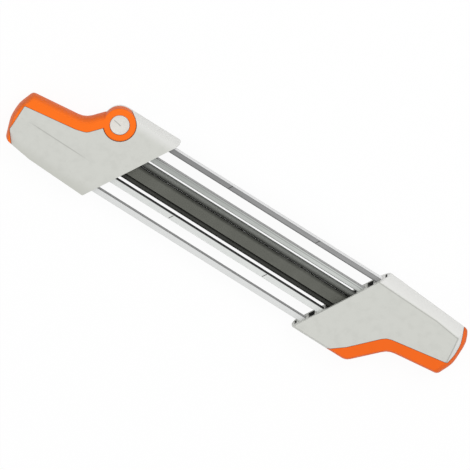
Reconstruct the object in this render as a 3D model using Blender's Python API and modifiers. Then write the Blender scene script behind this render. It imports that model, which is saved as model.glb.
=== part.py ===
"""Chainsaw file guide: two moulded handles that carry three files and four guide bars.

Metres, +Z up. X runs along the files, from the lever handle to the plain handle, and the
handles stand on Z = 0. Each handle is drawn in its own frame, with x outwards along the
files and y towards its back edge, and hangs on an empty: the lever handle's empty is
turned half a turn about Z, so both handles share one way of drawing.
"""
import math

import bmesh
import bpy
from mathutils import Vector

# Sizes of the whole tool
file_length = 0.200
file_bury = 0.0074
handle_length = 0.1183
handle_width = 0.0740
handle_thickness = 0.025
slant_angle = math.radians(30.0)
clearance = 0.0003
overrun = 0.006
arc_step = math.radians(15.0)
facet_length = 0.0016

# Housing shells
wall = 0.0025
side_sweep = math.radians(66.0)
side_levels = 5
grip_fall_share = 0.040
face_fall_share = 0.003
lever_fall_shares = (0.027, 0.020, 0.027, 0.014, 0.014)
plain_fall_shares = (0.068, 0.095, 0.108, 0.108)
parting_height = handle_thickness / 2
back_wall = 0.0035
front_block_depth = 0.0156
floor_sink = 0.0012

# Orange channel mouldings
flange_thickness = 0.0045
web_thickness = 0.0031
lever_strip_width = 0.0031

# Outline of the handles, as shares of handle_length from the outer end and of handle_width
# from the centre line
shoulder_shares = (0.586, -0.500)
plain_valley_shares = (0.390, -0.183)
plain_nose_shares = (0.048, -0.118)
plain_end_high_shares = (0.000, 0.310)
plain_heel_shares = (0.039, 0.426)
lever_neck_shares = (0.5055, -0.346)
lever_valley_shares = (0.401, -0.179)
lever_nose_shares = (0.038, -0.116)
lever_end_high_shares = (0.000, 0.217)
lever_heel_shares = (0.045, 0.425)
lever_back_shares = (0.237, 0.470)
end_low_shares = (0.000, 0.055)
back_corner_share = 0.495
tip_radius = 0.0012
shoulder_radius = 0.009
valley_radius = 0.014
nose_radius = 0.004
end_radius = 0.020

# Inner line of the grip on the plain handle, in the same shares
grip_start_shares = (0.790, -0.560)
grip_knee_shares = (0.631, -0.362)
grip_bend_shares = (0.450, -0.062)
grip_corner_shares = (0.038, 0.045)
grip_strip_low_shares = (0.026, 0.150)
grip_strip_high_shares = (0.030, 0.280)
grip_end_shares = (0.098, 0.560)
grip_bend_radius = 0.012
grip_corner_radius = 0.001

# Inner line of the lever's flange, in the same shares
lever_armpit_shares = (0.523, -0.221)
lever_elbow_shares = (0.449, -0.088)
lever_bend_shares = (0.381, -0.057)
lever_corner_shares = (0.023, 0.018)
lever_bend_radius = 0.014

# Deep hollows under the grey faces, in the same shares
lever_hollow_shares = (
    (0.610, -0.054),
    (0.420, 0.014),
    (0.110, 0.082),
    (0.120, 0.310),
    (0.520, 0.370),
)
plain_hollow_shares = (
    (0.780, -0.290),
    (0.620, -0.270),
    (0.433, 0.010),
    (0.110, 0.080),
    (0.120, 0.310),
    (0.520, 0.370),
)

# Lever pivot, hub and cam
pivot_share = 0.599
hub_radius = 0.0125
cap_radius = 0.0074
cap_thickness = 0.0016
cap_slot_width = 0.0011
cap_slot_depth = 0.0006
cap_slot_angle = math.radians(-10.0)
pin_radius = 0.004
pin_head_radius = 0.0068
pin_head_thickness = 0.002
cam_bottom = 0.008
cam_top = parting_height + clearance
cam_small_radius = 0.0084
cam_lift = 0.004
cam_pad_gap = 0.0006
lever_open_angle = math.radians(90.0)
cam_top_angle = math.radians(180.0)
cam_dwell = math.radians(10.0)
cam_ramp = math.radians(20.0)
hook_share = 0.697
hub_rounding = 0.0012

# Files
file_slot_depth = 0.003
flat_file_width = 0.0099
flat_file_thickness = 0.0036
flat_file_bottom = 0.0152
file_chamfer = 0.0004
round_file_diameter = 0.0055
round_file_spacing_share = 0.1973
round_file_height = 0.0122

# Guide bars
inner_guide_bottom = 0.0106
inner_guide_width = 0.0048
inner_guide_height = 0.0076
inner_guide_spacing_share = 0.3980
outer_guide_bottom = 0.0090
outer_guide_width = 0.0045
outer_guide_height = 0.0086
outer_guide_spacing_share = 0.7565
guide_rounding = 0.0004
guide_seat_depth = 0.012
guide_pin_radius = 0.001
guide_pin_setback = 0.008
guide_pin_bottom = 0.0060
guide_pin_top = 0.0205

# Cored-out pockets in the slanted end faces
pocket_depth = 0.006
pocket_bottom = 0.0035
pocket_top = 0.0215
pocket_side_wall = 0.0016
edge_pocket_width = 0.0018
edge_pocket_bottom = 0.006
edge_pocket_top = 0.019

# Clamp slide, file rest, spring and what carries them
block_bottom = 0.0063
block_top = 0.0212
block_half_width = 0.0112
slide_pad_reach = 0.0045
slide_pad_bottom = 0.0083
slide_pad_top = 0.0122
slide_pad_thickness = 0.005
block_room = 0.014
tail_radius = 0.0018
tail_flange_radius = 0.0046
tail_flange_thickness = 0.002
rail_width = 0.002
rail_spacing = 0.014
rail_room = 0.002
stop_thickness = 0.0025
stop_half_width = 0.008
spring_length = 0.016
spring_radius = 0.0036
spring_wire_radius = 0.0005
spring_curls = 7
spring_points_per_curl = 10
spring_height = parting_height
spring_side = 0.0010

# Housing screws
screw_head_radius = 0.0035
screw_head_height = 0.0023
screw_shank_radius = 0.0015
screw_length = 0.0165
screw_recess = 0.0006
screw_boss_radius = 0.0046
screw_bite_end = 0.0205
lever_screw_shares = ((0.610, 0.299), (0.139, 0.231), (0.366, 0.285))
plain_screw_shares = ((0.600, -0.198), (0.610, 0.299), (0.147, 0.217))

# The lever handle's slope, which falls from a ridge on the top face to the back edge and
# fades out towards the files
ridge_shares = ((0.600, 0.160), (0.330, 0.138), (0.040, 0.128))
ridge_drops = (-0.0002, 0.0012, 0.0022)
slope_section_shares = ((0.00, 0.00), (0.50, 0.45), (1.00, 1.00))
slope_lift = 0.00005

half_width = handle_width / 2
face_reach = file_length / 2 - file_bury
tip_x = face_reach - half_width * math.tan(slant_angle)
half_length = tip_x + handle_length
hook_radius = hook_share * handle_length
round_file_spacing = round_file_spacing_share * handle_width
inner_guide_spacing = inner_guide_spacing_share * handle_width
outer_guide_spacing = outer_guide_spacing_share * handle_width
block_end = file_length / 2 + block_room

part_collection = None
cutter_collection = None


def sides_for(radius):
    """How many sides a round form of this radius gets: a multiple of four, 12 to 36."""
    return 4 * max(3, min(9, math.ceil(radius / facet_length)))


def face_x(y):
    """Where the slanted end face stands at this y, in a handle's frame."""
    return face_reach + y * math.tan(slant_angle)


def at_shares(shares):
    """A point from its shares of the handle's length and width."""
    along, across = shares
    return half_length - along * handle_length, across * handle_width


def pivot_place():
    """Where the lever's pivot stands, with its hub flush with the handle's edge."""
    return at_shares((pivot_share, hub_radius / handle_width - 0.5))


def corner(shares, radius):
    """A corner of an outline, with the radius that rounds it."""
    x, y = at_shares(shares)
    return x, y, radius


# Outlines
def rounded_outline(corners):
    """Turn a list of corners with radii into points, with an arc at each rounded corner."""
    points = []
    count = len(corners)
    for index, (x, y, radius) in enumerate(corners):
        here = Vector((x, y))
        before = Vector(corners[index - 1][:2])
        after = Vector(corners[(index + 1) % count][:2])
        into = (here - before).normalized()
        out = (after - here).normalized()
        turn = math.atan2(into.x * out.y - into.y * out.x, into.dot(out))
        if radius <= 0 or abs(turn) < arc_step / 4:
            points.append((x, y))
            continue
        start = here - into * radius * math.tan(abs(turn) / 2)
        side = Vector((-into.y, into.x)) * math.copysign(1, turn)
        centre = start + side * radius
        arm = start - centre
        steps = max(2, round(abs(turn) / arc_step))
        for step in range(steps + 1):
            swing = turn * step / steps
            x_arm = arm.x * math.cos(swing) - arm.y * math.sin(swing)
            y_arm = arm.x * math.sin(swing) + arm.y * math.cos(swing)
            points.append((centre.x + x_arm, centre.y + y_arm))
    return points


def inset(corners, distances):
    """Move each edge of a counterclockwise outline inwards by its own distance."""
    count = len(corners)
    moved = []
    for index, (x, y, radius) in enumerate(corners):
        here = Vector((x, y))
        before = Vector(corners[index - 1][:2])
        after = Vector(corners[(index + 1) % count][:2])
        into = (here - before).normalized()
        out = (after - here).normalized()
        near, far = distances[index - 1], distances[index]
        turn = into.x * out.y - into.y * out.x
        first = here + Vector((-into.y, into.x)) * near
        second = here + Vector((-out.y, out.x)) * far
        if abs(turn) < 0.05:
            place = (first + second) / 2
        else:
            gap = second - first
            place = first + into * (gap.x * out.y - gap.y * out.x) / turn
        new_radius = radius - min(near, far) if turn > 0 else radius + max(near, far)
        moved.append((place.x, place.y, max(new_radius, clearance) if radius > 0 else 0))
    return moved


def arc(centre, radius, start, end):
    """Points along an arc, from one angle to the other."""
    steps = max(2, math.ceil(abs(end - start) / arc_step))
    points = []
    for step in range(steps + 1):
        angle = start + (end - start) * step / steps
        points.append((centre[0] + radius * math.cos(angle), centre[1] + radius * math.sin(angle)))
    return points


# Solids
def add_object(name, mesh, end=None, cutter=False):
    """Make an object of a mesh, in the parts' or the cutters' collection."""
    made = bpy.data.objects.new(name, mesh)
    made.parent = end
    if cutter:
        cutter_collection.objects.link(made)
        made.hide_render = True
        made.display_type = "WIRE"
    else:
        part_collection.objects.link(made)
    return made


def prism(name, outline, bottom, top, end=None, cutter=False):
    """A flat outline with an extrusion, turned into a mesh."""
    curve = bpy.data.curves.new(name, "CURVE")
    curve.dimensions = "2D"
    curve.fill_mode = "BOTH"
    curve.extrude = (top - bottom) / 2
    spline = curve.splines.new("POLY")
    spline.points.add(len(outline) - 1)
    for point, (x, y) in zip(spline.points, outline):
        point.co = (x, y, 0, 1)
    spline.use_cyclic_u = True
    maker = bpy.data.objects.new(name, curve)
    part_collection.objects.link(maker)
    mesh = plain_mesh(maker)
    bpy.data.objects.remove(maker)
    shape = bmesh.new()
    shape.from_mesh(mesh)
    bmesh.ops.remove_doubles(shape, verts=shape.verts, dist=clearance / 30)
    bmesh.ops.translate(shape, verts=shape.verts, vec=(0, 0, (top + bottom) / 2))
    bmesh.ops.recalc_face_normals(shape, faces=shape.faces)
    shape.to_mesh(mesh)
    shape.free()
    return add_object(name, mesh, end, cutter)


def plain_mesh(source):
    """The mesh of an object with its modifiers worked out."""
    depsgraph = bpy.context.evaluated_depsgraph_get()
    return bpy.data.meshes.new_from_object(source.evaluated_get(depsgraph))


def box(name, x_range, y_range, z_range, end=None, cutter=False):
    """A block between two corners."""
    shape = bmesh.new()
    bmesh.ops.create_cube(shape, size=1)
    size = [high - low for low, high in (x_range, y_range, z_range)]
    middle = [(high + low) / 2 for low, high in (x_range, y_range, z_range)]
    bmesh.ops.scale(shape, verts=shape.verts, vec=size)
    bmesh.ops.translate(shape, verts=shape.verts, vec=middle)
    mesh = bpy.data.meshes.new(name)
    shape.to_mesh(mesh)
    shape.free()
    return add_object(name, mesh, end, cutter)


def cylinder(name, centre, radius, bottom, top, end=None, cutter=False):
    """An upright cylinder."""
    shape = bmesh.new()
    sides = sides_for(radius)
    bmesh.ops.create_cone(
        shape, cap_ends=True, segments=sides, radius1=radius, radius2=radius, depth=top - bottom
    )
    place = (centre[0], centre[1], (top + bottom) / 2)
    bmesh.ops.translate(shape, verts=shape.verts, vec=place)
    mesh = bpy.data.meshes.new(name)
    shape.to_mesh(mesh)
    shape.free()
    return add_object(name, mesh, end, cutter)


def turned(name, profile, place, sides, end=None):
    """A turned piece from a profile that runs down its outer side, about an upright axis."""
    mesh = bpy.data.meshes.new(name)
    points = [(radius, 0, height) for radius, height in profile]
    edges = [(index, index + 1) for index in range(len(points) - 1)]
    mesh.from_pydata(points, edges, [])
    made = add_object(name, mesh, end)
    made.location = place
    screw = made.modifiers.new("Turn", "SCREW")
    screw.steps = sides
    screw.render_steps = sides
    screw.use_merge_vertices = True
    screw.merge_threshold = clearance / 30
    return made


def combine(target, others, operation):
    """Cut, join or keep what is common, with one Boolean for each other solid."""
    for other in others:
        step = target.modifiers.new(operation.title(), "BOOLEAN")
        step.operation = operation
        step.object = other
        step.solver = "EXACT"


def round_edges(target, width, segments):
    """Round the sharp edges of a solid."""
    bevel = target.modifiers.new("Round edges", "BEVEL")
    bevel.width = width
    bevel.segments = segments
    bevel.limit_method = "ANGLE"
    bevel.angle_limit = math.radians(50.0)
    bevel.use_clamp_overlap = True


def copy_solid(name, source, end=None, cutter=False):
    """A new object with the worked-out mesh of another."""
    return add_object(name, plain_mesh(source), end, cutter)


def move_origin(target, place):
    """Put an object's origin at a place, with its mesh where it was."""
    target.data.transform(target.matrix_basis.Translation(-Vector(place)))
    target.location = place


def finish(target, colour, roughness, metallic):
    """Give a piece its own material and shade its round faces smooth."""
    material = bpy.data.materials.new(target.name)
    material.use_nodes = True
    shader = material.node_tree.nodes["Principled BSDF"]
    shader.inputs["Base Color"].default_value = (*colour, 1)
    shader.inputs["Roughness"].default_value = roughness
    shader.inputs["Metallic"].default_value = metallic
    target.data.materials.clear()
    target.data.materials.append(material)
    target.data.shade_smooth()
    target.data.set_sharp_from_angle(angle=math.radians(30.0))


# Colours
housing_grey = (0.610, 0.617, 0.584)
grip_orange = (1.000, 0.150, 0.012)
bar_steel = (0.560, 0.570, 0.565)
file_steel = (0.130, 0.132, 0.118)
inner_steel = (0.420, 0.420, 0.410)
slide_grey = (0.060, 0.060, 0.062)


# Handle outlines
def end_corners(end_high_shares, heel_shares, bends=()):
    """A handle's outer end and back edge, with the bends of that edge."""
    back_y = back_corner_share * handle_width
    return [
        corner(end_low_shares, end_radius),
        corner(end_high_shares, end_radius),
        corner(heel_shares, nose_radius),
        *[corner(shares, end_radius) for shares in bends],
        (face_x(back_y), back_y, tip_radius),
    ]


def plain_corners():
    """Outline of the plain handle, counterclockwise from its inner tip."""
    return [
        (tip_x, -half_width, tip_radius),
        corner(shoulder_shares, shoulder_radius),
        corner(plain_valley_shares, valley_radius),
        corner(plain_nose_shares, nose_radius),
        *end_corners(plain_end_high_shares, plain_heel_shares),
    ]


def lever_corners():
    """Outline of the lever handle, with an arc round the pivot."""
    centre = pivot_place()
    reach = hub_radius - clearance / 3
    start = -math.pi / 2
    neck = at_shares(lever_neck_shares)
    end = math.atan2(neck[1] - centre[1], neck[0] - centre[0])
    around = [(x, y, 0) for x, y in arc(centre, reach, start, end)]
    return [
        (tip_x, -half_width, tip_radius),
        *around,
        corner(lever_valley_shares, valley_radius),
        corner(lever_nose_shares, nose_radius),
        *end_corners(lever_end_high_shares, lever_heel_shares, [lever_back_shares]),
    ]


def lever_core_corners():
    """Outline of the lever handle without the arc, for the hollow inside."""
    shoulder_x = pivot_place()[0] - clearance
    return [
        (tip_x, -half_width, tip_radius),
        (shoulder_x, -half_width, 0),
        corner(lever_neck_shares, 0),
        corner(lever_valley_shares, valley_radius),
        corner(lever_nose_shares, nose_radius),
        *end_corners(lever_end_high_shares, lever_heel_shares, [lever_back_shares]),
    ]


def grip_band():
    """Where the grip covers the plain handle: from its inner line to past the outline."""
    start = at_shares(grip_start_shares)
    finish_at = at_shares(grip_end_shares)
    outside = half_length + overrun
    below = -half_width - 2 * overrun
    return [
        (start[0], below, 0),
        (outside, below, 0),
        (outside, finish_at[1], 0),
        (finish_at[0], finish_at[1], 0),
        corner(grip_strip_high_shares, end_radius),
        corner(grip_strip_low_shares, end_radius),
        corner(grip_corner_shares, grip_corner_radius),
        corner(grip_bend_shares, grip_bend_radius),
        corner(grip_knee_shares, grip_bend_radius),
        (start[0], start[1], 0),
    ]


def lever_band():
    """Where the lever covers its handle: from the pivot along the edge to the hook."""
    centre = pivot_place()
    outside = half_length + overrun
    below = -half_width - overrun
    above = half_width + clearance
    strip_x = half_length - lever_strip_width
    hook_start = math.asin((above - centre[1]) / hook_radius)
    hook_end = math.acos((strip_x - centre[0]) / hook_radius)
    hook = [(x, y, 0) for x, y in arc(centre, hook_radius, hook_start, hook_end)]
    neck = at_shares(lever_neck_shares)
    return [
        (centre[0], centre[1], 0),
        (neck[0], below, 0),
        (outside, below, 0),
        (outside, above, 0),
        *hook,
        (strip_x, at_shares(lever_corner_shares)[1], grip_corner_radius),
        corner(lever_bend_shares, lever_bend_radius),
        corner(lever_elbow_shares, lever_bend_radius / 2),
        corner(lever_armpit_shares, 0),
    ]


def side_falls(corners, end_shares):
    """How far each side leans in at the top and the bottom, counted from the tip."""
    grip_count = len(corners) - len(end_shares) - 1
    shares = [grip_fall_share] * grip_count + list(end_shares) + [face_fall_share]
    return [share * handle_width for share in shares]


def swept_envelope(name, corners, falls, end):
    """A handle's whole outer form: outlines lofted along a curved side, widest in the middle."""
    shape = bmesh.new()
    rings = []
    for level in range(-side_levels, side_levels + 1):
        angle = side_sweep * level / side_levels
        height = parting_height * (1 + math.sin(angle) / math.sin(side_sweep))
        lean = (1 - math.cos(angle)) / (1 - math.cos(side_sweep))
        outline = rounded_outline(inset(corners, [fall * lean for fall in falls]))
        rings.append([shape.verts.new((x, y, height)) for x, y in outline])
    for lower, upper in zip(rings, rings[1:]):
        for index in range(len(lower)):
            after = (index + 1) % len(lower)
            shape.faces.new((lower[index], lower[after], upper[after], upper[index]))
    shape.faces.new(rings[0][::-1])
    shape.faces.new(rings[-1])
    mesh = bpy.data.meshes.new(name)
    shape.to_mesh(mesh)
    shape.free()
    return add_object(name, mesh, end, True)


def channel_cutter(name, band, core, end, growth):
    """The band of a channel moulding, less the core of the handle that it wraps."""
    grown = inset(band, [-growth] * len(band))
    cutter = prism(name, rounded_outline(grown), -overrun, handle_thickness + overrun, end, True)
    depth = [web_thickness + growth] * len(core)
    inside = prism(
        name + "_core",
        rounded_outline(inset(core, depth)),
        flange_thickness + growth,
        handle_thickness - flange_thickness - growth,
        end,
        True,
    )
    combine(cutter, [inside], "DIFFERENCE")
    return cutter


def slope_cutter(name, end):
    """A lofted wedge: what lies above the slope between the ridge and the back edge."""
    shape = bmesh.new()
    rows = []
    back_y = half_width + overrun
    for shares, drop in zip(ridge_shares, ridge_drops):
        x, y = at_shares(shares)
        lean = (x - face_x(y)) / handle_length
        low_row = []
        for across, fall in slope_section_shares:
            y_here = y + (half_width - y) * across
            x_here = x + (y_here - y) * math.tan(slant_angle) * (1 - lean)
            height = handle_thickness + slope_lift - drop * fall
            low_row.append(shape.verts.new((x_here, y_here, height)))
        last = low_row[-1].co
        low_row.append(shape.verts.new((last.x, back_y, last.z)))
        top = handle_thickness + overrun
        high_row = [shape.verts.new((vert.co.x, vert.co.y, top)) for vert in low_row]
        rows.append(low_row + high_row[::-1])
    first, final = rows[0], rows[-1]
    ahead = Vector((overrun, 0, 0))
    rows.insert(0, [shape.verts.new(vert.co - ahead * 2) for vert in first])
    rows.append([shape.verts.new(vert.co + ahead * 2) for vert in final])
    for row, after in zip(rows, rows[1:]):
        for index in range(len(row)):
            following = (index + 1) % len(row)
            shape.faces.new((row[index], row[following], after[following], after[index]))
    shape.faces.new(rows[0])
    shape.faces.new(rows[-1])
    bmesh.ops.recalc_face_normals(shape, faces=shape.faces)
    mesh = bpy.data.meshes.new(name)
    shape.to_mesh(mesh)
    shape.free()
    return add_object(name, mesh, end, True)


def face_window(name, y_range, z_range, depth, end):
    """A cutter that enters through the slanted end face, as deep at every y."""
    low, high = y_range
    outline = [
        (face_x(low) - overrun, low),
        (face_x(low) + depth, low),
        (face_x(high) + depth, high),
        (face_x(high) - overrun, high),
    ]
    return prism(name, outline, z_range[0], z_range[1], end, True)


def square_window(name, y_range, z_range, far_x, end):
    """A cutter that enters through the slanted end face and ends square, at one x."""
    low, high = y_range
    outline = [
        (face_x(low) - overrun, low),
        (far_x, low),
        (far_x, high),
        (face_x(high) - overrun, high),
    ]
    return prism(name, outline, z_range[0], z_range[1], end, True)


def guide_rows():
    """The guide bars, as (y of the centre line, width, lowest z, highest z)."""
    inner_top = inner_guide_bottom + inner_guide_height
    outer_top = outer_guide_bottom + outer_guide_height
    rows = []
    for side in (-1, 1):
        inner_y = side * inner_guide_spacing / 2
        outer_y = side * outer_guide_spacing / 2
        rows.append((inner_y, inner_guide_width, inner_guide_bottom, inner_top))
        rows.append((outer_y, outer_guide_width, outer_guide_bottom, outer_top))
    return rows


def front_cutters(label, end):
    """Slots for the guide bars, holes for their pins and the cored-out pockets."""
    cutters = []
    for index, (y, width, bottom, top) in enumerate(guide_rows()):
        half = width / 2 + clearance
        levels = (bottom - clearance, top + clearance)
        depth = guide_seat_depth + clearance
        slot_x = face_x(y) + depth
        cutters.append(square_window(f"{label}_slot_{index}", (y - half, y + half), levels, slot_x, end))
        hole_radius = guide_pin_radius + clearance
        place = (face_x(y) + guide_pin_setback, y)
        reach = (guide_pin_bottom - clearance, guide_pin_top + clearance)
        hole = cylinder(f"{label}_pin_hole_{index}", place, hole_radius, *reach, end, True)
        cutters.append(hole)
    inner_edge = (inner_guide_spacing + inner_guide_width) / 2 + clearance + pocket_side_wall
    outer_edge = (outer_guide_spacing - outer_guide_width) / 2 - clearance - pocket_side_wall
    rim_edge = (outer_guide_spacing + outer_guide_width) / 2 + clearance + pocket_side_wall
    levels = (pocket_bottom, pocket_top)
    rim_levels = (edge_pocket_bottom, edge_pocket_top)
    for side, word in ((-1, "near"), (1, "far")):
        span = sorted((side * inner_edge, side * outer_edge))
        cutters.append(face_window(f"{label}_pocket_{word}", span, levels, pocket_depth, end))
        rim = sorted((side * rim_edge, side * (rim_edge + edge_pocket_width)))
        cutters.append(face_window(f"{label}_rim_pocket_{word}", rim, rim_levels, pocket_depth, end))
    return cutters


def hollow_cutters(label, core, hollow_shares, end):
    """The two hollows inside a handle: a wide one, and a deeper one under the grey faces."""
    covered = web_thickness + clearance + wall
    depths = [covered] * (len(core) - 2) + [back_wall, front_block_depth]
    skin = flange_thickness + clearance + wall
    wide = prism(
        f"{label}_hollow",
        rounded_outline(inset(core, depths)),
        skin,
        handle_thickness - skin,
        end,
        True,
    )
    outline = [at_shares(shares) for shares in hollow_shares]
    deep = prism(f"{label}_deep_hollow", outline, wall, handle_thickness - wall, end, True)
    return [wide, deep]


def shell_pair(label, envelope, trims, joins, cuts, end):
    """The upper and the lower shell of one handle, cut apart at the parting plane."""
    reach = half_length + overrun
    shells = []
    halves = (("top", clearance / 2, handle_thickness), ("bottom", -handle_thickness, -clearance / 2))
    for half, low, high in halves:
        shell = copy_solid(f"{label}_housing_{half}", envelope, end)
        span = (parting_height + low - (overrun if half == "bottom" else 0), parting_height + high)
        keep = box(f"{label}_{half}_half", (0, reach), (-reach, reach), span, end, True)
        combine(shell, [keep], "INTERSECT")
        combine(shell, trims[half] + cuts["hollow"], "DIFFERENCE")
        combine(shell, joins[half], "UNION")
        combine(shell, cuts["front"] + cuts[half], "DIFFERENCE")
        finish(shell, housing_grey, 0.42, 0.0)
        shells.append(shell)
    return shells


# Housing screws
def screw_places(shares_list):
    """Where the housing screws stand."""
    return [at_shares(shares) for shares in shares_list]


def screw_features(label, places, end):
    """Bosses for the top and bottom shell, and the holes of the housing screws."""
    bosses = {"top": [], "bottom": []}
    holes = {"top": [], "bottom": []}
    split = clearance / 2
    sink = wall - floor_sink
    seat = screw_recess + screw_head_height + clearance
    bore = screw_shank_radius + clearance
    head_bore = screw_head_radius + clearance
    for index, place in enumerate(places):
        name = f"{label}_boss_{index}"
        upper = (parting_height + split, handle_thickness - sink)
        lower = (sink, parting_height - split)
        bosses["top"].append(cylinder(name + "_upper", place, screw_boss_radius, *upper, end, True))
        bosses["bottom"].append(cylinder(name + "_lower", place, screw_boss_radius, *lower, end, True))
        upper_bore = (parting_height - overrun / 2, screw_bite_end)
        lower_bore = (seat - overrun / 6, parting_height + overrun / 2)
        holes["top"].append(cylinder(name + "_bite", place, bore, *upper_bore, end, True))
        holes["bottom"].append(cylinder(name + "_bore", place, bore, *lower_bore, end, True))
        counterbore = cylinder(name + "_seat", place, head_bore, -overrun, seat, end, True)
        holes["bottom"].append(counterbore)
    return bosses, holes


def make_screws(label, places, end):
    """The housing screws themselves, heads down."""
    head_top = screw_recess + screw_head_height
    crown = screw_head_radius * 0.8
    tip = head_top + screw_length
    profile = [
        (0, tip),
        (screw_shank_radius / 2, tip),
        (screw_shank_radius, tip - screw_shank_radius),
        (screw_shank_radius, head_top),
        (screw_head_radius, head_top),
        (screw_head_radius, screw_recess + screw_head_height / 3),
        (crown, screw_recess),
        (0, screw_recess),
    ]
    for index, place in enumerate(places):
        screw = turned(f"{label}_screw_{index + 1}", profile, (place[0], place[1], 0), 12, end)
        finish(screw, inner_steel, 0.35, 1.0)


def rails(label, end):
    """The two ribs of the lower shell that the inner block lies on."""
    made = []
    for side, word in ((-1, "near"), (1, "far")):
        middle = side * rail_spacing / 2
        span = (middle - rail_width / 2, middle + rail_width / 2)
        levels = (wall - floor_sink, block_bottom - clearance)
        reach = (file_length / 2 + rail_room, block_end + rail_room)
        made.append(box(f"{label}_rail_{word}", reach, span, levels, end, True))
    return made


def stop_ribs(label, near_x, end):
    """The ribs of both shells that stand behind the inner block or the spring."""
    span = (near_x, near_x + stop_thickness)
    width = (spring_side - stop_half_width, spring_side + stop_half_width)
    split = clearance / 2
    upper = (parting_height + split, handle_thickness - wall + floor_sink)
    lower = (wall - floor_sink, parting_height - split)
    return {
        "top": [box(f"{label}_stop_upper", span, width, upper, end, True)],
        "bottom": [box(f"{label}_stop_lower", span, width, lower, end, True)],
    }


def file_pockets(label, block_gap, end):
    """The three blind holes that take the files' ends."""
    pockets = []
    half = flat_file_width / 2 + clearance
    levels = (flat_file_bottom - clearance, flat_file_bottom + flat_file_thickness + clearance)
    end_x = file_length / 2 + block_gap
    start_x = face_reach
    flat = box(f"{label}_flat_pocket", (start_x, end_x), (-half, half), levels, end, True)
    pockets.append(flat)
    for side, word in ((-1, "near"), (1, "far")):
        y = side * round_file_spacing / 2
        shift = y * math.tan(slant_angle)
        hole = lying_cylinder(
            f"{label}_round_pocket_{word}",
            (start_x + shift, end_x + shift),
            (y, round_file_height),
            round_file_diameter / 2 + clearance,
            end,
        )
        pockets.append(hole)
    return pockets


def lying_cylinder(name, x_range, centre, radius, end):
    """A cutter cylinder along x."""
    shape = bmesh.new()
    length = x_range[1] - x_range[0]
    sides = sides_for(radius)
    bmesh.ops.create_cone(
        shape, cap_ends=True, segments=sides, radius1=radius, radius2=radius, depth=length
    )
    quarter = Vector((0, 0, 1)).rotation_difference(Vector((1, 0, 0))).to_matrix()
    bmesh.ops.rotate(shape, verts=shape.verts, cent=(0, 0, 0), matrix=quarter)
    middle = ((x_range[0] + x_range[1]) / 2, centre[0], centre[1])
    bmesh.ops.translate(shape, verts=shape.verts, vec=middle)
    mesh = bpy.data.meshes.new(name)
    shape.to_mesh(mesh)
    shape.free()
    return add_object(name, mesh, end, True)


def block_front(y):
    """Where the inner blocks begin, a pocket's depth before the files' ends."""
    return file_length / 2 - file_slot_depth + y * math.tan(slant_angle)


def inner_block(name, near_side, end):
    """A block across a handle that takes the files' ends, with a slanted front."""
    far_side = block_half_width
    outline = [
        (block_front(near_side), near_side),
        (block_end, near_side),
        (block_end, far_side),
        (block_front(far_side), far_side),
    ]
    return prism(name, outline, block_bottom, block_top, end)


# Lever end
def cam_rise(angle):
    """The share of the cam's lift at an angle: a ramp, a dwell, then a spiral that falls."""
    spiral = (angle - cam_top_angle) / lever_open_angle
    ramp_end = cam_top_angle - cam_dwell
    if 0 <= spiral <= 1:
        return 1 - spiral
    if ramp_end <= angle < cam_top_angle:
        return 1.0
    if ramp_end - cam_ramp <= angle < ramp_end:
        return 1 - (ramp_end - angle) / cam_ramp
    return 0.0


def cam_room_rise(angle):
    """The share of the lift that the cam takes up at an angle, at any place of its swing."""
    swept = (cam_rise(angle + lever_open_angle * step / 20) for step in range(21))
    return max(swept)


def cam_outline(centre, rise, growth):
    """An outline round the pivot whose radius follows a rise."""
    points = []
    steps = 72
    for step in range(steps):
        angle = 2 * math.pi * step / steps
        radius = cam_small_radius + cam_lift * rise(angle) + growth
        points.append((centre[0] + radius * math.cos(angle), centre[1] + radius * math.sin(angle)))
    return points


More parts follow.
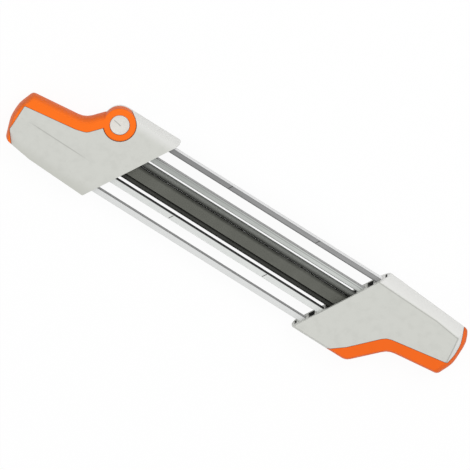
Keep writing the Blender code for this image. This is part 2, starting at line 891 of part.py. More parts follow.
def make_lever_end():
    """Everything that belongs to the handle with the locking lever."""
    end = bpy.data.objects.new("lever_end", None)
    part_collection.objects.link(end)
    end.rotation_euler = (0, 0, math.pi)
    pivot = pivot_place()

    # Outer form of the whole handle
    outer = lever_corners()
    falls = side_falls(outer, lever_fall_shares)
    envelope = swept_envelope("lever_envelope", outer, falls, end)
    slope = slope_cutter("lever_slope", end)
    core = lever_core_corners()

    # Shells
    channel = channel_cutter("lever_channel_room", lever_band(), core, end, clearance)
    low_disc = (-2 * overrun, parting_height)
    seat_disc = cylinder("hub_seat_disc", pivot, hub_radius, *low_disc, end, True)
    combine(channel, [seat_disc], "DIFFERENCE")
    bore_radius = hub_radius + clearance
    bore_levels = (parting_height - overrun / 6, handle_thickness + overrun)
    hub_bore = cylinder("hub_bore", pivot, bore_radius, *bore_levels, end, True)
    hollow = hollow_cutters("lever", core, lever_hollow_shares, end)
    block_levels = (block_bottom - clearance, block_top + clearance)
    block_sides = (-block_half_width - clearance, block_half_width + clearance)
    slide_far = block_end + cam_lift + clearance
    slide_way = square_window("slide_way", block_sides, block_levels, slide_far, end)
    pad_x = pivot[0] - cam_small_radius - cam_lift - cam_pad_gap
    pad_span = (pad_x - slide_pad_thickness, pad_x)
    pad_room = box(
        "pad_room",
        (pad_span[0] - clearance, pad_x + cam_lift + clearance),
        (pivot[1] - slide_pad_reach - clearance, 0),
        (slide_pad_bottom - clearance, parting_height + clearance),
        end,
        True,
    )
    cam_levels = (cam_bottom - clearance, parting_height + clearance)
    room = cam_outline(pivot, cam_room_rise, cam_pad_gap)
    cam_room = prism("cam_room", room, *cam_levels, end, True)
    boss_top = cam_bottom - clearance
    boss = cylinder("pin_boss", pivot, pin_head_radius, wall - floor_sink, boss_top, end, True)
    pin_levels = (floor_sink, cam_bottom)
    pin_hole = cylinder("pin_hole", pivot, pin_radius + clearance, *pin_levels, end, True)
    bosses, holes = screw_features("lever", screw_places(lever_screw_shares), end)
    stops = stop_ribs("lever", slide_far + clearance, end)
    tail_span = (slide_far, slide_far + stop_thickness + overrun)
    tail_place = (spring_side, spring_height)
    tail_hole = lying_cylinder("tail_hole", tail_span, tail_place, tail_radius + clearance, end)
    trims = {"top": [slope, channel], "bottom": [channel]}
    joins = {
        "top": bosses["top"] + stops["top"],
        "bottom": bosses["bottom"] + stops["bottom"] + rails("lever", end) + [boss],
    }
    cuts = {
        "hollow": hollow,
        "front": front_cutters("lever", end) + [slide_way],
        "top": holes["top"] + [hub_bore, tail_hole],
        "bottom": holes["bottom"] + [pad_room, cam_room, pin_hole, tail_hole],
    }
    shell_pair("lever", envelope, trims, joins, cuts, end)
    make_screws("lever", screw_places(lever_screw_shares), end)

    # Locking lever: channel, hub, ring and cam in one moulding
    lever = copy_solid("locking_lever", envelope, end)
    fitted = channel_cutter("lever_channel", lever_band(), core, end, 0)
    low_room = (-overrun, parting_height + clearance / 2)
    seat_room = cylinder("hub_seat_room", pivot, bore_radius, *low_room, end, True)
    combine(lever, [fitted], "INTERSECT")
    combine(lever, [seat_room], "DIFFERENCE")
    hub_levels = (parting_height + clearance, handle_thickness)
    hub = cylinder("lever_hub", pivot, hub_radius, *hub_levels, end, True)
    round_edges(hub, hub_rounding, 2)
    cam_shape = cam_outline(pivot, cam_rise, 0)
    cam = prism("lever_cam", cam_shape, cam_bottom, cam_top + overrun / 6, end, True)
    combine(lever, [hub, cam], "UNION")
    cap_seat = handle_thickness - cap_thickness - pin_head_thickness - 2 * clearance
    cap_bore = cylinder("cap_bore", pivot, cap_radius + clearance, cap_seat, bore_levels[1], end, True)
    shank_levels = (cam_bottom - overrun / 6, bore_levels[1])
    shank_bore = cylinder("shank_bore", pivot, pin_radius + clearance, *shank_levels, end, True)
    combine(lever, [cap_bore, shank_bore], "DIFFERENCE")
    finish(lever, grip_orange, 0.38, 0.0)
    move_origin(lever, (pivot[0], pivot[1], parting_height))

    # Pivot pin and its cap
    head_bottom = cap_seat + clearance
    head_top = head_bottom + pin_head_thickness
    foot = 2 * floor_sink
    pin_profile = [
        (0, head_top),
        (pin_head_radius, head_top),
        (pin_head_radius, head_bottom),
        (pin_radius, head_bottom),
        (pin_radius, foot + floor_sink / 2),
        (pin_radius - floor_sink / 2, foot),
        (0, foot),
    ]
    pin = turned("pivot_pin", pin_profile, (pivot[0], pivot[1], 0), 20, end)
    finish(pin, inner_steel, 0.35, 1.0)
    cap_levels = (head_top + clearance, head_top + clearance + cap_thickness)
    cap = cylinder("pivot_cap", pivot, cap_radius, *cap_levels, end)
    slot = box(
        "cap_slot",
        (-cap_radius / 2, cap_radius / 2),
        (-cap_slot_width / 2, cap_slot_width / 2),
        (cap_levels[1] - cap_slot_depth, cap_levels[1] + overrun),
        end,
        True,
    )
    slot.location = (pivot[0], pivot[1], 0)
    slot.rotation_euler = (0, 0, cap_slot_angle)
    combine(cap, [slot], "DIFFERENCE")
    finish(cap, housing_grey, 0.4, 0.0)

    # Clamp slide: block, pad against the cam, and a tail with a flange for the spring
    slide = inner_block("clamp_slide", -block_half_width, end)
    pad_sides = (pivot[1] - slide_pad_reach, 0)
    pad = box("slide_pad", pad_span, pad_sides, (slide_pad_bottom, slide_pad_top), end, True)
    spring_start = slide_far + stop_thickness + 2 * clearance
    flange_x = spring_start + spring_length + clearance
    flange_end = flange_x + tail_flange_thickness
    tail = lying_cylinder("slide_tail", (block_end - overrun, flange_end), tail_place, tail_radius, end)
    flange = lying_cylinder("slide_flange", (flange_x, flange_end), tail_place, tail_flange_radius, end)
    combine(slide, [pad, tail, flange], "UNION")
    combine(slide, file_pockets("slide", clearance, end), "DIFFERENCE")
    finish(slide, slide_grey, 0.5, 0.0)
    make_spring(spring_start, end)


def make_spring(near_x, end):
    """The compression spring on the slide's tail: one wire along a helix."""
    pitch_points = spring_curls * spring_points_per_curl
    coil_length = spring_length - 2 * spring_wire_radius
    start_x = near_x + spring_wire_radius
    curve = bpy.data.curves.new("clamp_spring", "CURVE")
    curve.dimensions = "3D"
    curve.bevel_depth = spring_wire_radius
    curve.bevel_resolution = 1
    curve.use_fill_caps = True
    spline = curve.splines.new("POLY")
    spline.points.add(pitch_points)
    path = []
    for index in range(pitch_points + 1):
        turn = 2 * math.pi * index / spring_points_per_curl
        x = start_x + coil_length * index / pitch_points
        y = spring_side + spring_radius * math.cos(turn)
        z = spring_height + spring_radius * math.sin(turn)
        path.append(Vector((x, y, z)))
        spline.points[index].co = (x, y, z, 1)
    least = min(
        (path[first] - path[second]).length
        for first in range(len(path))
        for second in range(first + spring_points_per_curl // 2, len(path))
    )
    print("clamp_spring least gap to itself, mm:", 1000 * (least - 2 * spring_wire_radius))
    spring = bpy.data.objects.new("clamp_spring", curve)
    spring.parent = end
    part_collection.objects.link(spring)
    material = bpy.data.materials.new("clamp_spring")
    material.use_nodes = True
    shader = material.node_tree.nodes["Principled BSDF"]
    shader.inputs["Base Color"].default_value = (*inner_steel, 1)
    shader.inputs["Metallic"].default_value = 1.0
    curve.materials.append(material)


# Plain end
def make_plain_end():
    """Everything that belongs to the handle with the fixed grip."""
    end = bpy.data.objects.new("plain_end", None)
    part_collection.objects.link(end)

    # Outer form of the whole handle
    core = plain_corners()
    falls = side_falls(core, plain_fall_shares)
    envelope = swept_envelope("plain_envelope", core, falls, end)

    # Shells
    channel = channel_cutter("grip_channel_room", grip_band(), core, end, clearance)
    hollow = hollow_cutters("plain", core, plain_hollow_shares, end)
    block_levels = (block_bottom - clearance, block_top + clearance)
    block_sides = (-block_half_width - clearance, block_half_width + clearance)
    mouth = square_window("file_mouth", block_sides, block_levels, block_end + clearance, end)
    bosses, holes = screw_features("plain", screw_places(plain_screw_shares), end)
    stops = stop_ribs("plain", block_end + clearance, end)
    trims = {"top": [channel], "bottom": [channel]}
    joins = {
        "top": bosses["top"] + stops["top"],
        "bottom": bosses["bottom"] + stops["bottom"] + rails("plain", end),
    }
    cuts = {
        "hollow": hollow,
        "front": front_cutters("plain", end) + [mouth],
        "top": holes["top"],
        "bottom": holes["bottom"],
    }
    shell_pair("plain", envelope, trims, joins, cuts, end)
    make_screws("plain", screw_places(plain_screw_shares), end)

    # Grip
    grip = copy_solid("edge_grip", envelope, end)
    fitted = channel_cutter("grip_channel", grip_band(), core, end, 0)
    combine(grip, [fitted], "INTERSECT")
    finish(grip, grip_orange, 0.45, 0.0)

    # Fixed block for the files' ends
    rest = inner_block("file_rest", -block_half_width, end)
    combine(rest, file_pockets("rest", clearance, end), "DIFFERENCE")
    finish(rest, slide_grey, 0.5, 0.0)


# Files and guide bars
def make_files():
    """The flat file and the two round files."""
    half = file_length / 2
    half_flat = flat_file_width / 2
    levels = (flat_file_bottom, flat_file_bottom + flat_file_thickness)
    flat = box("flat_file", (-half, half), (-half_flat, half_flat), levels)
    round_edges(flat, file_chamfer, 1)
    finish(flat, file_steel, 0.45, 1.0)
    radius = round_file_diameter / 2
    chamfer = radius / 4
    profile = [
        (0, half),
        (radius - chamfer, half),
        (radius, half - chamfer),
        (radius, -half + chamfer),
        (radius - chamfer, -half),
        (0, -half),
    ]
    for side, word in ((1, "upper"), (-1, "lower")):
        y = side * round_file_spacing / 2
        place = (y * math.tan(slant_angle), y, round_file_height)
        made = turned(f"round_file_{word}", profile, place, 24)
        made.rotation_euler = (0, math.pi / 2, 0)
        finish(made, file_steel, 0.45, 1.0)


def make_guides():
    """The four guide bars with their pin holes, and the pins."""
    number = 0
    for y, width, bottom, top in guide_rows():
        ring = "inner" if abs(y) < outer_guide_spacing / 3 else "outer"
        word = "upper" if y > 0 else "lower"
        start = -face_x(-y) - guide_seat_depth
        stop = face_x(y) + guide_seat_depth
        sides = (y - width / 2, y + width / 2)
        bar = box(f"{ring}_guide_{word}", (start, stop), sides, (bottom, top))
        round_edges(bar, guide_rounding, 1)
        holes = []
        pin_xs = (-face_x(-y) - guide_pin_setback, face_x(y) + guide_pin_setback)
        for pin_x in pin_xs:
            number += 1
            reach = (bottom - overrun, top + overrun)
            radius = guide_pin_radius + clearance
            holes.append(cylinder(f"guide_hole_{number}", (pin_x, y), radius, *reach, None, True))
            pin_levels = (guide_pin_bottom, guide_pin_top)
            pin = cylinder(f"guide_pin_{number}", (pin_x, y), guide_pin_radius, *pin_levels)
            finish(pin, inner_steel, 0.35, 1.0)
        combine(bar, holes, "DIFFERENCE")
        finish(bar, bar_steel, 0.22, 1.0)


def main():
    """Clear the scene and build the tool."""
    global part_collection, cutter_collection
    for old in list(bpy.data.objects):
        bpy.data.objects.remove(old)
    part_collection = bpy.data.collections.new("chainsaw_file_guide")
    cutter_collection = bpy.data.collections.new("cutters")
    bpy.context.scene.collection.children.link(part_collection)
    bpy.context.scene.collection.children.link(cutter_collection)
    make_lever_end()
    make_plain_end()
    make_files()
    make_guides()


main()
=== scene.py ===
"""Chainsaw file guide, dressed: two grey moulded handles with orange lever and grip.

Metres, +Z up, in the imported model's own frame. X runs along the files from the lever handle
to the plain handle. The housings, bars and mouldings keep their CAD solids and get moulded
plastic and ground steel. The files, the screws and the pivot's cap are built again here with
their cut teeth, threads and recesses.
"""
import logging
import math
from collections.abc import Mapping, Sequence
from dataclasses import dataclass
from enum import Enum
from typing import Any, Union

import bmesh
import bpy
from bpy.types import ID, Material, Mesh, Node, NodeSocket, Object, Scene
from mathutils import Matrix, Vector


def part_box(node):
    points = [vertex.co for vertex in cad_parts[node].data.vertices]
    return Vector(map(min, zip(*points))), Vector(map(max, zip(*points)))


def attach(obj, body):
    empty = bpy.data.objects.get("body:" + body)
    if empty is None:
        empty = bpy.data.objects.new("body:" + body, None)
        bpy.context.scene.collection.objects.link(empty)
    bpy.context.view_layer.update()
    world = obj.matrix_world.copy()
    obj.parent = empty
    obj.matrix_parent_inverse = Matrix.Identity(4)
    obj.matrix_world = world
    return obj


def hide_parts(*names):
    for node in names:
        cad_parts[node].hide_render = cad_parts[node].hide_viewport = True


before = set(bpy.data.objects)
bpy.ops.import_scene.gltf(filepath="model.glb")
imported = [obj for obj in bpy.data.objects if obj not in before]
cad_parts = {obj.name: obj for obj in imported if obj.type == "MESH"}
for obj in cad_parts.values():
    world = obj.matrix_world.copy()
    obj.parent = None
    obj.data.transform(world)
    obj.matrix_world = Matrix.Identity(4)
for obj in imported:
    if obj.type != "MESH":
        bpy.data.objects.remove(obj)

log = logging.getLogger("file_guide")

Colour = tuple[float, float, float]
Point = tuple[float, float, float]
Span = tuple[float, float]

# Where in a noise pattern clouds and speckles start to show, and where they show in full
CLOUDY: Span = (0.4, 0.7)
SPECKLED: Span = (0.35, 0.7)


class Body(Enum):
    """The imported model's bodies that new pieces ride on."""

    FRAME = "frame"


class Slot(Enum):
    """The record's material slots, by name."""

    FILE_STEEL = "file_steel"
    BAR_STEEL = "bar_steel"
    FASTENER_STEEL = "fastener_steel"
    HOUSING = "housing_plastic"


def colour_of(red: float, green: float, blue: float) -> Colour:
    """Turn a colour as a screen shows it, 0 to 255, into the linear values that shaders take.

    Args:
        red: The red share, 0 to 255.
        green: The green share, 0 to 255.
        blue: The blue share, 0 to 255.

    Returns:
        The linear colour.
    """
    linear = []
    for share in (red, green, blue):
        part = share / 255
        linear.append(part / 12.92 if part <= 0.04045 else ((part + 0.055) / 1.055) ** 2.4)
    return linear[0], linear[1], linear[2]


# Node trees
class Value:
    """A socket that carries a number, and that takes part in sums written in Python."""

    def __init__(self, tree: "NodeTree", socket: NodeSocket) -> None:
        """Wrap a socket of a tree."""
        self.tree = tree
        self.socket = socket

    def _with(self, operation: str, first: "Number", second: "Number" = 0.0) -> "Value":
        """Add one Math node for one or two values."""
        return self.tree.value("ShaderNodeMath", {"operation": operation}, {0: first, 1: second})

    def __add__(self, other: "Number") -> "Value":
        """This value plus another."""
        return self._with("ADD", self, other)

    __radd__ = __add__

    def __sub__(self, other: "Number") -> "Value":
        """This value less another."""
        return self._with("SUBTRACT", self, other)

    def __rsub__(self, other: "Number") -> "Value":
        """Another value less this one."""
        return self._with("SUBTRACT", other, self)

    def __mul__(self, other: "Number") -> "Value":
        """This value times another."""
        return self._with("MULTIPLY", self, other)

    __rmul__ = __mul__

    def __truediv__(self, other: "Number") -> "Value":
        """This value over another."""
        return self._with("DIVIDE", self, other)

    def __rtruediv__(self, other: "Number") -> "Value":
        """Another value over this one."""
        return self._with("DIVIDE", other, self)

    def __neg__(self) -> "Value":
        """This value with its sign turned."""
        return self * -1.0

    def __abs__(self) -> "Value":
        """This value without its sign."""
        return self._with("ABSOLUTE", self)

    def fraction(self) -> "Value":
        """What is left of this value after its whole part."""
        return self._with("FRACT", self)

    def least(self, other: "Number") -> "Value":
        """The lower of this value and another."""
        return self._with("MINIMUM", self, other)

    def most(self, other: "Number") -> "Value":
        """The higher of this value and another."""
        return self._with("MAXIMUM", self, other)

    def rise(self, start: float, stop: float) -> "Value":
        """A smooth step from 0 to 1 as this value goes from start to stop.

        Args:
            start: Where the step leaves 0.
            stop: Where the step reaches 1.

        Returns:
            The step.
        """
        settings = {"interpolation_type": "SMOOTHSTEP"}
        ends = {"Value": self, "From Min": start, "From Max": stop}
        return self.tree.value("ShaderNodeMapRange", settings, ends)

    def line(self, width: float) -> "Value":
        """A soft line, one where this value is zero and faded out at a width from there."""
        return 1 - abs(self).rise(0.0, width)


Number = Union[Value, float, int]
Socketed = Union[Value, NodeSocket, float, int, bool, str, Sequence[float], Any]
Settings = Mapping[str, Any] | None
Inputs = Mapping[str | int, Socketed] | None


class NodeTree:
    """A node tree: its sums are written on its values, and its other nodes come from one call."""

    def __init__(self, tree: bpy.types.NodeTree) -> None:
        """Start from an empty tree."""
        self.tree = tree
        self.tree.nodes.clear()

    def node(self, kind: str, settings: Settings = None, values: Inputs = None) -> Node:
        """Add a node.

        Args:
            kind: The node's type.
            settings: Its own settings, set before its sockets.
            values: Its sockets by name or number, each with a value or a link.

        Returns:
            The node.
        """
        made = self.tree.nodes.new(kind)
        for name, setting in (settings or {}).items():
            setattr(made, name, setting)
        for key, value in (values or {}).items():
            self.feed(made.inputs[key], value)
        return made

    def feed(self, socket: NodeSocket, value: Socketed) -> None:
        """Link a socket, or set its own value.

        Args:
            socket: The input socket.
            value: The output to link to it, or the number, colour or other value to set.
        """
        source = value.socket if isinstance(value, Value) else value
        if isinstance(source, NodeSocket):
            self.tree.links.new(source, socket)
        else:
            socket.default_value = source

    def value(
        self, kind: str, settings: Settings = None, values: Inputs = None, output: str | int = 0
    ) -> Value:
        """Add a node, and take one of its outputs, by name or number, as a value."""
        return Value(self, self.node(kind, settings, values).outputs[output])

    def split(self, vector: NodeSocket) -> tuple[Value, Value, Value]:
        """The three values of a vector."""
        parts = self.node("ShaderNodeSeparateXYZ", None, {0: vector}).outputs
        return Value(self, parts[0]), Value(self, parts[1]), Value(self, parts[2])


class Paint(NodeTree):
    """The node tree of one material, with the patterns that the finishes share."""

    def __init__(self, name: str) -> None:
        """Start a material with a Principled shader."""
        self.material = bpy.data.materials.new(name)
        self.material.use_nodes = True
        super().__init__(self.material.node_tree)
        self.shader = self.node("ShaderNodeBsdfPrincipled")
        self.node("ShaderNodeOutputMaterial", None, {"Surface": self.shader.outputs[0]})
        self.place = self.node("ShaderNodeTexCoord").outputs["Object"]
        self.x, self.y, self.z = self.split(self.place)

    def upward(self) -> Value:
        """How far the surface faces up, from -1 to 1."""
        return self.split(self.node("ShaderNodeNewGeometry").outputs["Normal"])[2]

    def noise(self, size: float, detail: float = 3.0, stretch: Point | None = None) -> Value:
        """A cloudy pattern between 0 and 1.

        Args:
            size: The size of one cloud, in metres.
            detail: How many finer layers it has.
            stretch: The scale along each axis, where it isn't even.

        Returns:
            The pattern.
        """
        place = self.place
        if stretch:
            place = self.node("ShaderNodeMapping", None, {"Vector": place, "Scale": stretch}).outputs[0]
        values = {"Vector": place, "Scale": 1 / size, "Detail": detail}
        return self.value("ShaderNodeTexNoise", None, values)

    def mixed(self, share: Number, first: Socketed, second: Socketed) -> NodeSocket:
        """Mix two colours.

        Args:
            share: How much of the second colour shows, 0 to 1.
            first: A colour or the socket of one.
            second: A colour or the socket of one.

        Returns:
            The mixed colour.
        """
        colours = [(*tone, 1.0) if isinstance(tone, tuple) else tone for tone in (first, second)]
        settings = {"data_type": "RGBA", "clamp_factor": True}
        made = self.node("ShaderNodeMix", settings, {0: share, 6: colours[0], 7: colours[1]})
        return made.outputs[2]

    def off_line(self, start: Span, stop: Span) -> Value:
        """The signed distance in plan from a line through two points, positive to its left."""
        along = Vector((stop[0] - start[0], stop[1] - start[1])).normalized()
        return (self.y - start[1]) * along.x - (self.x - start[0]) * along.y

    def bump(self, height: Value, depth: float) -> None:
        """Raise the surface by a pattern from 0 to 1, at its highest by a depth in metres."""
        values = {"Height": height, "Distance": depth, "Strength": 1.0}
        self.set(Normal=self.node("ShaderNodeBump", None, values).outputs[0])

    def set(self, **values: Socketed) -> None:
        """Set or link sockets of the shader, with underscores for the spaces in their names."""
        for name, value in values.items():
            self.feed(self.shader.inputs[name.replace("_", " ")], value)


class Shape(NodeTree):
    """A geometry tree with named sizes, which ends in plain geometry with a material."""

    def __init__(self, name: str, sizes: Mapping[str, float | int]) -> None:
        """Start a tree.

        Args:
            name: The tree's name.
            sizes: The tree's named inputs with their values.
        """
        group = bpy.data.node_groups.new(name, "GeometryNodeTree")
        super().__init__(group)
        self.sizes = dict(sizes)
        self.identifiers: dict[str, str] = {}
        group.interface.new_socket("Geometry", in_out="INPUT", socket_type="NodeSocketGeometry")
        for size, value in self.sizes.items():
            kind = "NodeSocketInt" if isinstance(value, int) else "NodeSocketFloat"
            socket = group.interface.new_socket(size, in_out="INPUT", socket_type=kind)
            self.identifiers[size] = socket.identifier
        paint = group.interface.new_socket("Finish", in_out="INPUT", socket_type="NodeSocketMaterial")
        self.identifiers["Finish"] = paint.identifier
        group.interface.new_socket("Geometry", in_out="OUTPUT", socket_type="NodeSocketGeometry")
        self.entry = self.node("NodeGroupInput")

    def __getitem__(self, name: str) -> Value:
        """One of the tree's named inputs."""
        return Value(self, self.entry.outputs[name])

    def position(self) -> tuple[Value, Value, Value]:
        """The place of each point, as three values."""
        return self.split(self.node("GeometryNodeInputPosition").outputs[0])

    def vector(self, x: Number = 0.0, y: Number = 0.0, z: Number = 0.0) -> NodeSocket:
        """Three values as one vector."""
        return self.node("ShaderNodeCombineXYZ", None, {0: x, 1: y, 2: z}).outputs[0]

    def finish(self, geometry: NodeSocket) -> None:
        """End the tree in real geometry, shaded flat, with its material.

        Args:
            geometry: What the tree makes.
        """
        plain = self.node("GeometryNodeRealizeInstances", None, {"Geometry": geometry}).outputs[0]
        values = {"Geometry": plain, "Shade Smooth": False}
        shaded = self.node("GeometryNodeSetShadeSmooth", None, values).outputs[0]
        values = {"Geometry": shaded, "Material": self.entry.outputs["Finish"]}
        dressed = self.node("GeometryNodeSetMaterial", None, values).outputs[0]
        self.node("NodeGroupOutput", None, {"Geometry": dressed})

    def grow(self, name: str, seed: Mesh, finish: Material) -> Object:
        """Run the tree on a mesh and keep the result as a plain object.

        Args:
            name: The new object's name.
            seed: The mesh that the tree starts from.
            finish: The material of the result.

        Returns:
            The object, with no modifier left on it.
        """
        maker = add_object(name + "_maker", seed)
        step = maker.modifiers.new(name, "NODES")
        step.node_group = self.tree
        for size, value in self.sizes.items():
            step[self.identifiers[size]] = value
        step[self.identifiers["Finish"]] = finish
        depsgraph = bpy.context.evaluated_depsgraph_get()
        mesh = bpy.data.meshes.new_from_object(maker.evaluated_get(depsgraph))
        maker.modifiers.remove(step)
        bpy.data.objects.remove(maker)
        mesh.name = name
        return add_object(name, mesh)


def add_object(name: str, data: ID) -> Object:
    """Put a new object in the scene.

    Args:
        name: The object's name.
        data: Its mesh, lamp or camera.

    Returns:
        The object.
    """
    made = bpy.data.objects.new(name, data)
    bpy.context.scene.collection.objects.link(made)
    return made


def points_mesh(name: str, points: Sequence[Point]) -> Mesh:
    """A mesh of loose points.

    Args:
        name: The mesh's name.
        points: Where the points are.

    Returns:
        The mesh.
    """
    mesh = bpy.data.meshes.new(name)
    mesh.from_pydata([tuple(point) for point in points], [], [])
    return mesh


def dress(node: str, finish: Material) -> None:
    """Give a CAD node a material.

    Args:
        node: The node's name.
        finish: The material.
    """
    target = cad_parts[node]
    if not target.material_slots:
        target.data.materials.append(finish)
    for slot in target.material_slots:
        slot.material = finish
    log.info("dressed %s with %s", node, finish.name)


def settle(piece: Object, body: Body, nodes: Sequence[str] = ()) -> None:
    """Hand a finished piece to the frame.

    Args:
        piece: The piece, at the origin.
        body: The body that it rides on.
        nodes: The CAD nodes that it stands for.
    """
    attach(piece, body.value)
    if nodes:
        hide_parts(*nodes)
    log.info("placed %s on %s, %d faces", piece.name, body.value, len(piece.data.polygons))


# Finishes
@dataclass(frozen=True)
class HousingPlastic:
    """Light grey moulded plastic with a fine spark-eroded grain and a cloudy sheen.

    The crease is where the top face turns down to the back edge, and a thin line of painted
    shade runs along it. It fades in and out along x, and the strip past it may take a painted
    highlight. Across y the tone may go over into a painted sheen on one side, and into painted
    shade on the other. Behind the slanted end face, between the skins, lie the cored-out
    pockets, which take painted shade.
    """

    name: str
    crease: tuple[Span, ...]
    start: Span
    stop: Span
    strip_share: float
    facing: float
    face_reach: float = 0.0926
    slant: float = math.radians(30.0)
    parting: float = 0.0125
    tone: Colour = colour_of(206, 207, 201)
    # Painted light and shade: the pockets' tone is painted shade, the strip's tone a painted highlight
    # and sheen, the crease line's tone painted shade, and the last tone painted shade along the back edge
    pocket_shade_tone: Colour = colour_of(74, 75, 72)
    strip_tone: Colour = colour_of(224, 224, 221)
    crease_shade_tone: Colour = colour_of(176, 177, 171)
    cloud_tone: Colour = colour_of(198, 199, 193)
    shade_tone: Colour = colour_of(194, 195, 188)
    rough: float = 0.44
    rough_spread: float = 0.12
    glint: float = 0.35
    grain: float = 0.0004
    grain_depth: float = 0.00002
    cloud: float = 0.006
    cloud_span: Span = (0.42, 0.72)
    cloud_share: float = 0.55
    line_width: float = 0.0007
    strip_rise: float = 0.0015
    edge_share: float = 0.0
    sheen_span: Span = (0.0255, 0.0335)
    shade_span: Span = (-0.0345, -0.0245)
    pocket_start: Span = (0.0003, 0.0009)
    pocket_stop: Span = (0.0125, 0.0130)
    pocket_floor: Span = (0.0028, 0.0034)
    pocket_roof: Span = (0.0216, 0.0222)
    pocket_side: Span = (0.0338, 0.0342)
    outward_span: Span = (0.01, 0.03)

    def build(self) -> Material:
        """Make the material.

        Returns:
            The material.
        """
        paint = Paint(self.name)
        past, *others = [paint.off_line(*ends) for ends in zip(self.crease, self.crease[1:])]
        for other in others:
            past = past.most(other)
        strength = paint.x.rise(*self.start) * (1 - paint.x.rise(*self.stop))
        clouds = paint.noise(self.cloud, 4.0).rise(*self.cloud_span)
        base = paint.mixed(clouds * self.cloud_share, self.tone, self.cloud_tone)
        # Painted sheen towards one long edge, and painted shade towards the other
        base = paint.mixed(paint.y.rise(*self.sheen_span) * self.edge_share, base, self.strip_tone)
        dark = 1 - paint.y.rise(*self.shade_span)
        base = paint.mixed(dark * self.edge_share, base, self.shade_tone)
        # Painted highlight on the strip past the crease, and a thin line of painted shade along the
        # crease
        strip = past.rise(0.0, self.strip_rise)
        with_strip = paint.mixed(strip * strength * self.strip_share, base, self.strip_tone)
        with_crease_shade = paint.mixed(past.line(self.line_width) * strength, with_strip, self.crease_shade_tone)
        # Painted shade in the cored-out pockets
        with_pocket_shade = paint.mixed(self._pocket_shade(paint), with_crease_shade, self.pocket_shade_tone)
        grain = paint.noise(self.grain, 2.0)
        paint.set(Base_Color=with_pocket_shade, Roughness=self.rough + grain * self.rough_spread)
        paint.set(Specular_IOR_Level=self.glint)
        paint.bump(grain, self.grain_depth)
        return paint.material

    def _pocket_shade(self, paint: Paint) -> Value:
        """One inside the pockets: a little behind the end face, and clear of the outer skins.

        The outer skins face away from the parting height, and the pockets' walls towards it.

        Args:
            paint: The material's tree.

        Returns:
            The share of the painted shade in the pockets.
        """
        depth = paint.x * self.facing - self.face_reach - paint.y * self.facing * math.tan(self.slant)
        behind = depth.rise(*self.pocket_start) * (1 - depth.rise(*self.pocket_stop))
        level = paint.z.rise(*self.pocket_floor) * (1 - paint.z.rise(*self.pocket_roof))
        outward = paint.upward() * (paint.z - self.parting) / self.parting
        inside = level * (1 - outward.rise(*self.outward_span))
        return behind * inside * (1 - abs(paint.y).rise(*self.pocket_side))


@dataclass(frozen=True)
class MouldedPlastic:
    """Coloured moulded plastic with a fine grain, painted shade on upright sides and faint clouds."""

    name: str
    tone: Colour
    shade_tone: Colour
    rough: float = 0.36
    rough_spread: float = 0.1
    grain: float = 0.0005
    grain_depth: float = 0.00002
    cloud: float = 0.012
    cloud_span: Span = (0.35, 0.75)
    cloud_share: float = 0.06
    side_span: Span = (0.05, 0.6)
    side_share: float = 0.75
    glint: float = 0.05

    def build(self) -> Material:
        """Make the material.

        Returns:
            The material.
        """
        paint = Paint(self.name)
        clouds = paint.noise(self.cloud).rise(*self.cloud_span)
        # Painted shade: upright surfaces take the shade tone
        side = 1 - abs(paint.upward()).rise(*self.side_span)
        shade = clouds * self.cloud_share + side * self.side_share
        grain = paint.noise(self.grain, 2.0)
        tone = paint.mixed(shade, self.tone, self.shade_tone)
        paint.set(Base_Color=tone, Roughness=self.rough + grain * self.rough_spread)
        paint.set(Specular_IOR_Level=self.glint)
        paint.bump(grain, self.grain_depth)
        return paint.material


